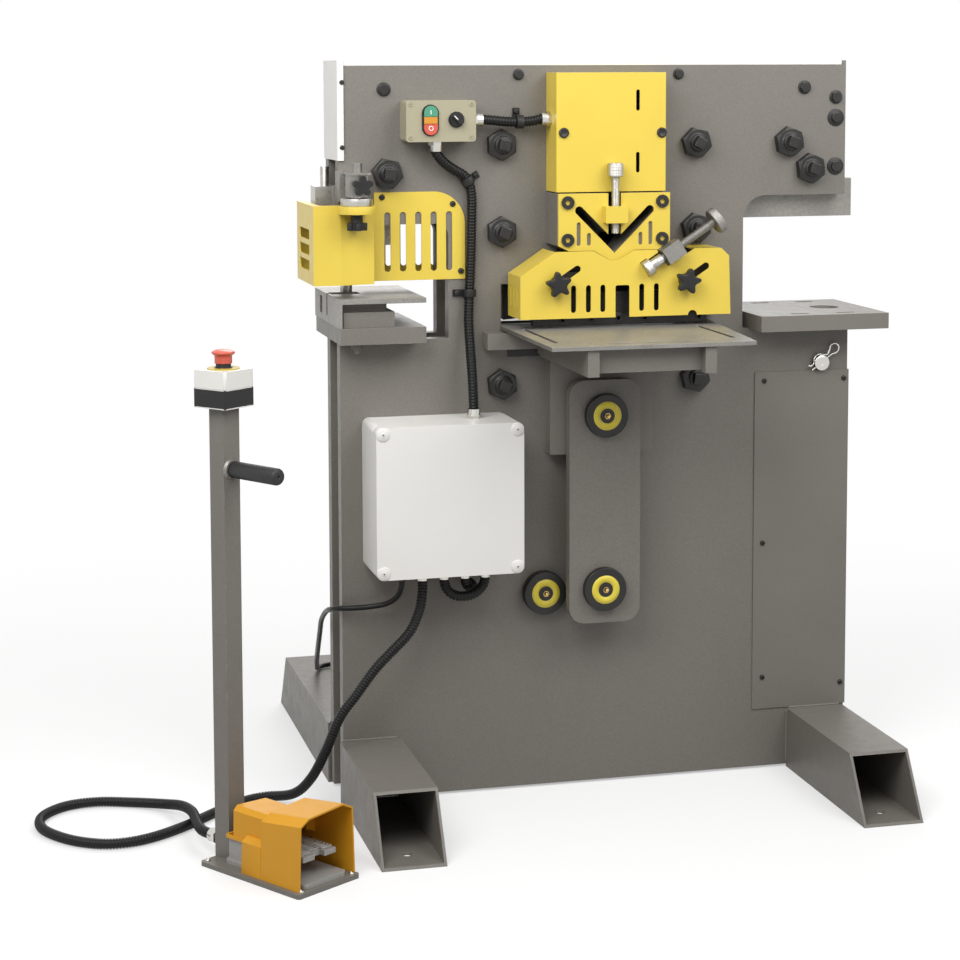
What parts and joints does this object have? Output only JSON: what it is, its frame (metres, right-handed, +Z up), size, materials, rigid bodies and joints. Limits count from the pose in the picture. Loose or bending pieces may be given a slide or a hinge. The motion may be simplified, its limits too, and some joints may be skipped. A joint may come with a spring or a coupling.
{
  "type": "hydraulic ironworker",
  "caption": "Free-standing ironworker: plate frame with punch station, angle and flat shears, tool table, hydraulic working beam, guards, electrical box and foot pedal.",
  "frame": {"origin": "On the floor, at the centre of the four anchor holes in the foot tubes, on the middle plane between the two side plates.", "axes": "+X runs along the frame from the punch station to the tool table, +Y to the rear, +Z up."},
  "size_m": [1.618, 1.1693, 1.38],
  "materials": {
    "frame_paint": "semi-gloss machine paint",
    "guard_yellow": "smooth safety yellow paint",
    "bare_steel": "ground steel",
    "black_steel": "blackened steel",
    "white_paint": "smooth light grey-white paint",
    "station_paint": "olive-beige paint",
    "black_plastic": "moulded black plastic",
    "conduit_black": "black corrugated conduit",
    "green_plastic": "glossy green",
    "red_plastic": "glossy red",
    "estop_housing": "light plastic housing",
    "orange_shell": "orange-yellow paint",
    "grey_casting": "painted grey casting",
    "grip_rubber": "ribbed rubber",
    "motor_paint": "motor enamel"
  },
  "bodies": {
    "root": {"front_plate": "frame_paint", "rear_plate": "frame_paint", "frame_spacers": "frame_paint", "feet": "frame_paint", "end_cover": "white_paint", "frame_screws": "black_steel", "angle_block": "frame_paint", "angle_guard": "guard_yellow", "lower_blades": "black_steel", "top_cover": "guard_yellow", "table_support": "frame_paint", "feed_table": "bare_steel", "punch_bolster": "frame_paint", "die_set": "bare_steel", "stripper": "bare_steel", "punch_panels": "guard_yellow", "guard_bracket": "bare_steel", "tool_table": "frame_paint", "access_panel": "frame_paint", "pivot_pins": "black_steel", "control_station": "station_paint", "enclosure_body": "white_paint", "enclosure_lid": "white_paint", "cable_fittings": "black_plastic", "conduits": "conduit_black", "pedal_conduit": "conduit_black", "motor_cable": "conduit_black", "pedal_base": "frame_paint", "pedal_frame": "grey_casting", "pedal_guard": "orange_shell", "estop_box": "estop_housing", "pedal_grip": "grip_rubber", "oil_tank": "frame_paint", "pump_motor": "motor_paint", "valve_block": "bare_steel", "oil_hoses": "conduit_black", "cylinder_barrel": "frame_paint", "screw_holders": "guard_yellow"},
    "beam": {"beam": "bare_steel", "upper_blades": "black_steel", "punch_ram": "bare_steel", "punch": "bare_steel", "links": "frame_paint", "link_pins": "black_steel"},
    "rocker": {"rocker": "bare_steel"},
    "piston": {"cylinder_rod": "bare_steel"},
    "start_button": {"start_button": "green_plastic"},
    "stop_button": {"stop_button": "red_plastic"},
    "selector": {"selector_switch": "black_plastic"},
    "estop": {"estop_button": "red_plastic"},
    "treadle": {"treadle": "grey_casting"},
    "angle_screw": {"angle_holddown": "bare_steel"},
    "flat_guard": {"flat_guard": "guard_yellow", "guard_adjuster": "bare_steel"},
    "star_left": {"star_knob_left": "black_plastic"},
    "star_right": {"star_knob_right": "black_plastic"},
    "guard_post": {"guard_post": "bare_steel"},
    "punch_guard": {"punch_guard": "guard_yellow"},
    "post_knob": {"post_knob": "black_plastic"},
    "guard_knob": {"guard_knob": "black_plastic"}
  },
  "joints": [
    {"name": "beam_stroke", "type": "slide", "parent": "root", "child": "beam", "axis": [0, 0, 1], "range_m": [-0.03, 0]},
    {"name": "rocker_swing", "type": "hinge", "parent": "root", "child": "rocker", "pos_m": [-0.109, 0, 0.379], "axis": [0, 1, 0], "range_deg": [0, 17.27]},
    {"name": "piston_travel", "type": "slide", "parent": "root", "child": "piston", "axis": [0, 0, 1], "range_m": [-0.1685, 0]},
    {"name": "start_press", "type": "slide", "parent": "root", "child": "start_button", "axis": [0, 1, 0], "range_m": [0, 0.003], "stiffness_N_per_m": 400},
    {"name": "stop_press", "type": "slide", "parent": "root", "child": "stop_button", "axis": [0, 1, 0], "range_m": [0, 0.003], "stiffness_N_per_m": 400},
    {"name": "selector_turn", "type": "hinge", "parent": "root", "child": "selector", "pos_m": [-0.2872, -0.118, 1.2723], "axis": [0, 1, 0], "range_deg": [0, 90]},
    {"name": "estop_press", "type": "slide", "parent": "root", "child": "estop", "axis": [0, 0, -1], "range_m": [0, 0.004]},
    {"name": "treadle_press", "type": "hinge", "parent": "root", "child": "treadle", "pos_m": [-0.67528, -0.38349, 0.052], "axis": [0.8339, 0.5519, 0], "range_deg": [0, 9], "stiffness_Nm_per_rad": 4, "springref_deg": -22.92},
    {"name": "angle_screw_travel", "type": "slide", "parent": "root", "child": "angle_screw", "axis": [0, 0, 1], "range_m": [-0.012, 0.015]},
    {"name": "flat_guard_slide", "type": "slide", "parent": "root", "child": "flat_guard", "axis": [0.8387, 0, 0.5446], "range_m": [-0.03, 0]},
    {"name": "star_left_turn", "type": "hinge", "parent": "root", "child": "star_left", "pos_m": [-0.109, -0.165, 0.9715], "axis": [0, 1, 0], "continuous": true},
    {"name": "star_right_turn", "type": "hinge", "parent": "root", "child": "star_right", "pos_m": [0.14, -0.165, 0.9715], "axis": [0, 1, 0], "continuous": true},
    {"name": "guard_height", "type": "slide", "parent": "root", "child": "guard_post", "axis": [0, 0, 1], "range_m": [-0.018, 0.002]},
    {"name": "guard_swing", "type": "hinge", "parent": "guard_post", "child": "punch_guard", "pos_m": [-0.4773, -0.144, 1.11], "axis": [0, 0, 1], "range_deg": [0, 90]},
    {"name": "post_knob_turn", "type": "hinge", "parent": "root", "child": "post_knob", "pos_m": [-0.4713, -0.164, 1.157], "axis": [0, 1, 0], "continuous": true},
    {"name": "guard_knob_turn", "type": "hinge", "parent": "guard_post", "child": "guard_knob", "pos_m": [-0.4773, -0.144, 1.085], "axis": [0, 0, 1], "continuous": true}
  ],
  "couplings": [
    {"joint": "rocker_swing", "follows": "beam_stroke", "rad_per_m": -10.038},
    {"joint": "piston_travel", "follows": "beam_stroke", "ratio": 5.6}
  ]
}
